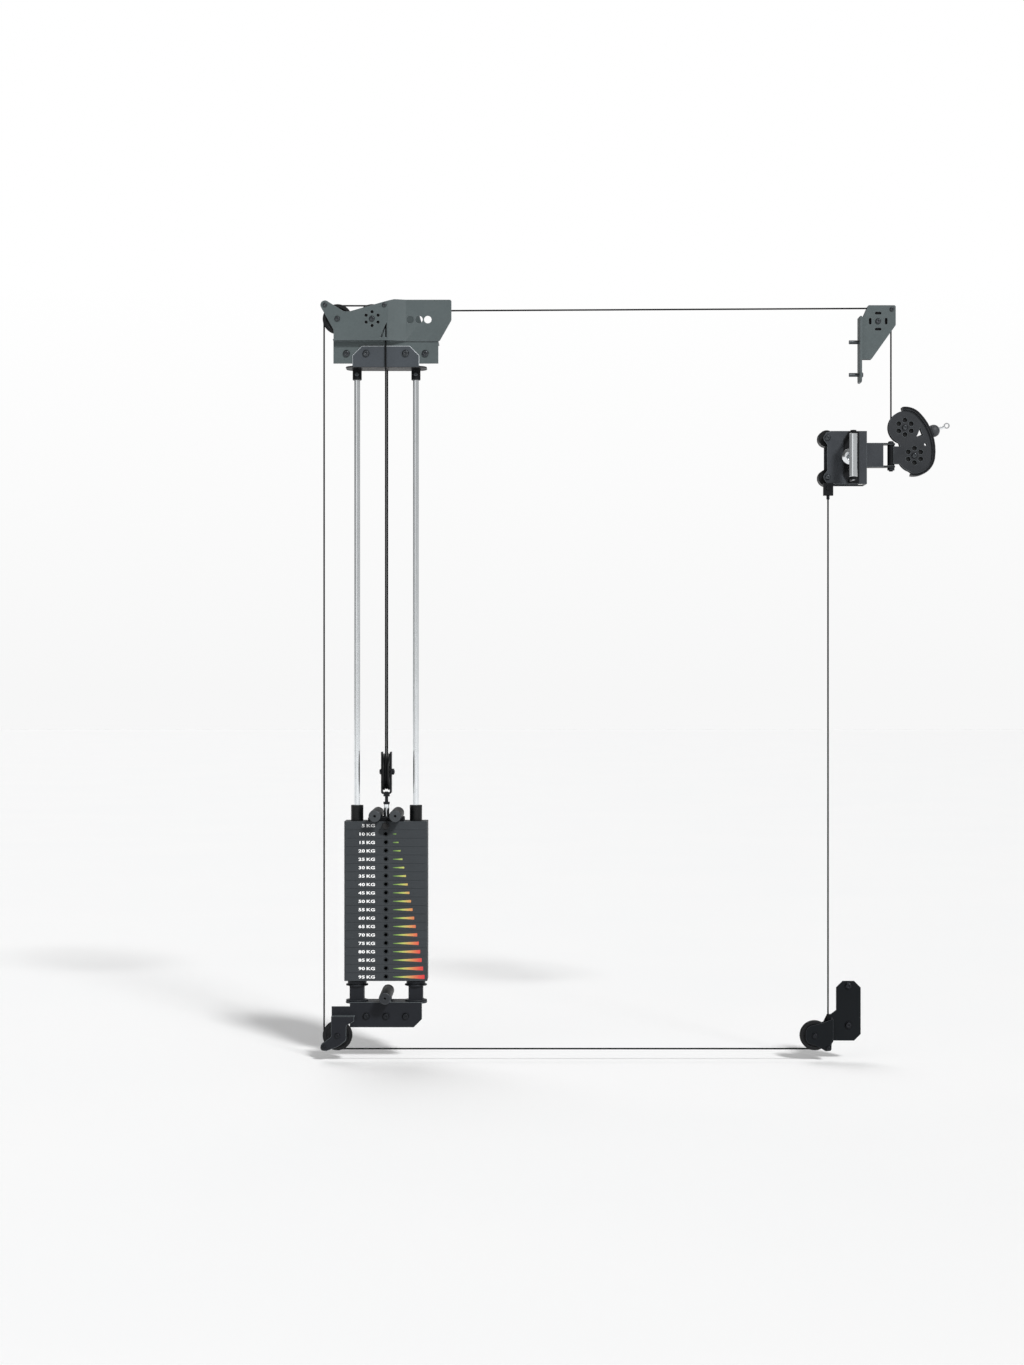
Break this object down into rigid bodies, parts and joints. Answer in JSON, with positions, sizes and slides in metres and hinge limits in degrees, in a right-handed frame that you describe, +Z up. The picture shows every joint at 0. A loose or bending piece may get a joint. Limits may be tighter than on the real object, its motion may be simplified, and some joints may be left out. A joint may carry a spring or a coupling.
{
  "type": "cable pulley attachment",
  "caption": "Rack mounted cable pulley system: a weight stack on two guide rods, one steel cable led round fixed pulleys, and a trolley with a swivelling pulley arm and grip.",
  "frame": {"origin": "centre of the base bracket's middle bolt, on the lower beam's front face", "axes": "+X along the rack's side, from the weight stack to the upright; +Y away from the viewer, into the beams; +Z up"},
  "size_m": [1.9237, 0.24, 2.2871],
  "materials": {
    "steel": "satin powder coat",
    "dark": "satin powder coat",
    "stack": "matt black",
    "bolt": "black zinc",
    "bolt_black": "black oxide",
    "bearing": "ground",
    "rod": "polished",
    "rubber": "matt",
    "wheel": "satin",
    "frame": "satin powder coat",
    "black": "satin powder coat",
    "cable": "smooth plastic coat over a steel rope"
  },
  "bodies": {
    "mounts": {"mount_bolts": "bolt", "top_bracket": "steel", "rod_hanger": "steel", "corner_bracket": "steel", "foot_bracket": "dark", "base_bracket": "dark", "pulley_bolts": "bolt", "pulley_bearings": "bearing", "guide_rods": "rod", "rod_screws": "bolt", "base_posts": "dark", "bump_stops": "rubber", "base_bar": "dark", "weight_plates": "stack", "cable_lower_run": "cable", "cable_upper_run": "cable"},
    "lift": {"head_plate": "stack", "guide_bushings": "wheel", "selector_stem": "rod", "bar_cradle": "dark", "head_bars": "dark", "lift_stud": "bolt_black", "pulley_yoke": "frame", "yoke_bolt": "bolt_black", "yoke_bearing": "bearing", "cable_lift_strands": "cable", "cable_pulley_loop": "cable"},
    "selector": {"selector_pin": "rod", "selector_knob": "rubber"},
    "trolley": {"trolley_frame": "frame", "latch_housing": "black", "handle_brackets": "black", "handle_grip": "rod", "wheel_bolts": "bolt", "guide_pads": "wheel", "cable_anchor": "frame", "swivel_bolt": "bolt_black", "cable_trolley_strand": "cable", "cable_arm_strand": "cable"},
    "latch": {"lock_pin": "rod", "lock_knob": "rod"},
    "arm": {"arm_frame": "frame", "arm_guard": "black", "arm_bolts": "bolt", "arm_bearings": "bearing", "cable_arm_loop": "cable"},
    "cable_ball": {"ball_stop": "rubber", "cable_end": "rod"},
    "top_outer_pulley_wheel": {"top_outer_pulley": "wheel"},
    "top_inner_pulley_wheel": {"top_inner_pulley": "wheel"},
    "top_rear_pulley_wheel": {"top_rear_pulley": "wheel"},
    "corner_pulley_wheel": {"corner_pulley": "wheel"},
    "foot_pulley_wheel": {"foot_pulley": "wheel"},
    "base_pulley_wheel": {"base_pulley": "wheel"},
    "floating_pulley_wheel": {"floating_pulley": "wheel"},
    "arm_upper_pulley_wheel": {"arm_upper_pulley": "wheel"},
    "arm_lower_pulley_wheel": {"arm_lower_pulley": "wheel"},
    "upper_wheel_roller": {"upper_wheel": "wheel"},
    "lower_wheel_roller": {"lower_wheel": "wheel"}
  },
  "joints": [
    {"name": "trolley_slide", "type": "slide", "parent": "mounts", "child": "trolley", "axis": [0, 0, 1], "range_m": [-1.4, 0.1], "deforming": ["cable_trolley_strand", "cable_arm_strand"]},
    {"name": "lock_pin_pull", "type": "slide", "parent": "trolley", "child": "latch", "axis": [0, -1, 0], "range_m": [0, 0.02], "stiffness_N_per_m": 800, "springref_m": -0.01},
    {"name": "arm_swivel", "type": "hinge", "parent": "trolley", "child": "arm", "pos_m": [1.546, 0.0375, 1.713], "axis": [0, 0, 1], "range_deg": [-90, 90]},
    {"name": "weight_lift", "type": "slide", "parent": "mounts", "child": "lift", "axis": [0, 0, 1], "range_m": [0, 1.1], "deforming": ["cable_lift_strands"]},
    {"name": "selector_pin_pull", "type": "slide", "parent": "lift", "child": "selector", "axis": [0, -1, 0], "range_m": [0, 0.12]},
    {"name": "ball_pull", "type": "slide", "parent": "arm", "child": "cable_ball", "axis": [0.9336, 0, 0.3584], "range_m": [0, 2.2]},
    {"name": "top_outer_turn", "type": "hinge", "parent": "mounts", "child": "top_outer_pulley_wheel", "pos_m": [-0.1465, -0.014, 2.123], "axis": [0, 1, 0], "continuous": true},
    {"name": "top_inner_turn", "type": "hinge", "parent": "mounts", "child": "top_inner_pulley_wheel", "pos_m": [-0.041, -0.014, 2.123], "axis": [0, 1, 0], "continuous": true},
    {"name": "top_rear_turn", "type": "hinge", "parent": "mounts", "child": "top_rear_pulley_wheel", "pos_m": [0.041, 0.089, 2.123], "axis": [0, 1, 0], "continuous": true},
    {"name": "corner_turn", "type": "hinge", "parent": "mounts", "child": "corner_pulley_wheel", "pos_m": [1.505, 0.0375, 2.123], "axis": [0, 1, 0], "continuous": true},
    {"name": "foot_turn", "type": "hinge", "parent": "mounts", "child": "foot_pulley_wheel", "pos_m": [1.3055, -0.014, -0.0565], "axis": [0, 1, 0], "continuous": true},
    {"name": "base_turn", "type": "hinge", "parent": "mounts", "child": "base_pulley_wheel", "pos_m": [-0.1465, -0.014, -0.0565], "axis": [0, 1, 0], "continuous": true},
    {"name": "floating_turn", "type": "hinge", "parent": "lift", "child": "floating_pulley_wheel", "pos_m": [0, 0.0375, 0.744], "axis": [1, 0, 0], "continuous": true},
    {"name": "arm_upper_turn", "type": "hinge", "parent": "arm", "child": "arm_upper_pulley_wheel", "pos_m": [1.587, 0.0375, 1.798], "axis": [0, 1, 0], "continuous": true},
    {"name": "arm_lower_turn", "type": "hinge", "parent": "arm", "child": "arm_lower_pulley_wheel", "pos_m": [1.61596, 0.0375, 1.71194], "axis": [0, 1, 0], "continuous": true},
    {"name": "upper_wheel_roll", "type": "hinge", "parent": "trolley", "child": "upper_wheel_roller", "pos_m": [1.3467, 0.0375, 1.763], "axis": [0, 1, 0], "continuous": true},
    {"name": "lower_wheel_roll", "type": "hinge", "parent": "trolley", "child": "lower_wheel_roller", "pos_m": [1.3467, 0.0375, 1.643], "axis": [0, 1, 0], "continuous": true}
  ],
  "couplings": [
    {"joint": "top_outer_turn", "follows": "trolley_slide", "rad_per_m": -24.39},
    {"joint": "top_inner_turn", "follows": "trolley_slide", "rad_per_m": -24.39},
    {"joint": "foot_turn", "follows": "trolley_slide", "rad_per_m": -24.39},
    {"joint": "base_turn", "follows": "trolley_slide", "rad_per_m": -24.39},
    {"joint": "upper_wheel_roll", "follows": "trolley_slide", "rad_per_m": 39.216},
    {"joint": "lower_wheel_roll", "follows": "trolley_slide", "rad_per_m": 39.216},
    {"joint": "ball_pull", "follows": "weight_lift", "ratio": 2},
    {"joint": "top_rear_turn", "follows": "weight_lift", "rad_per_m": 48.78},
    {"joint": "corner_turn", "follows": "weight_lift", "rad_per_m": 48.78},
    {"joint": "arm_upper_turn", "follows": "weight_lift", "rad_per_m": -48.78},
    {"joint": "floating_turn", "follows": "weight_lift", "rad_per_m": 19.417}
  ]
}
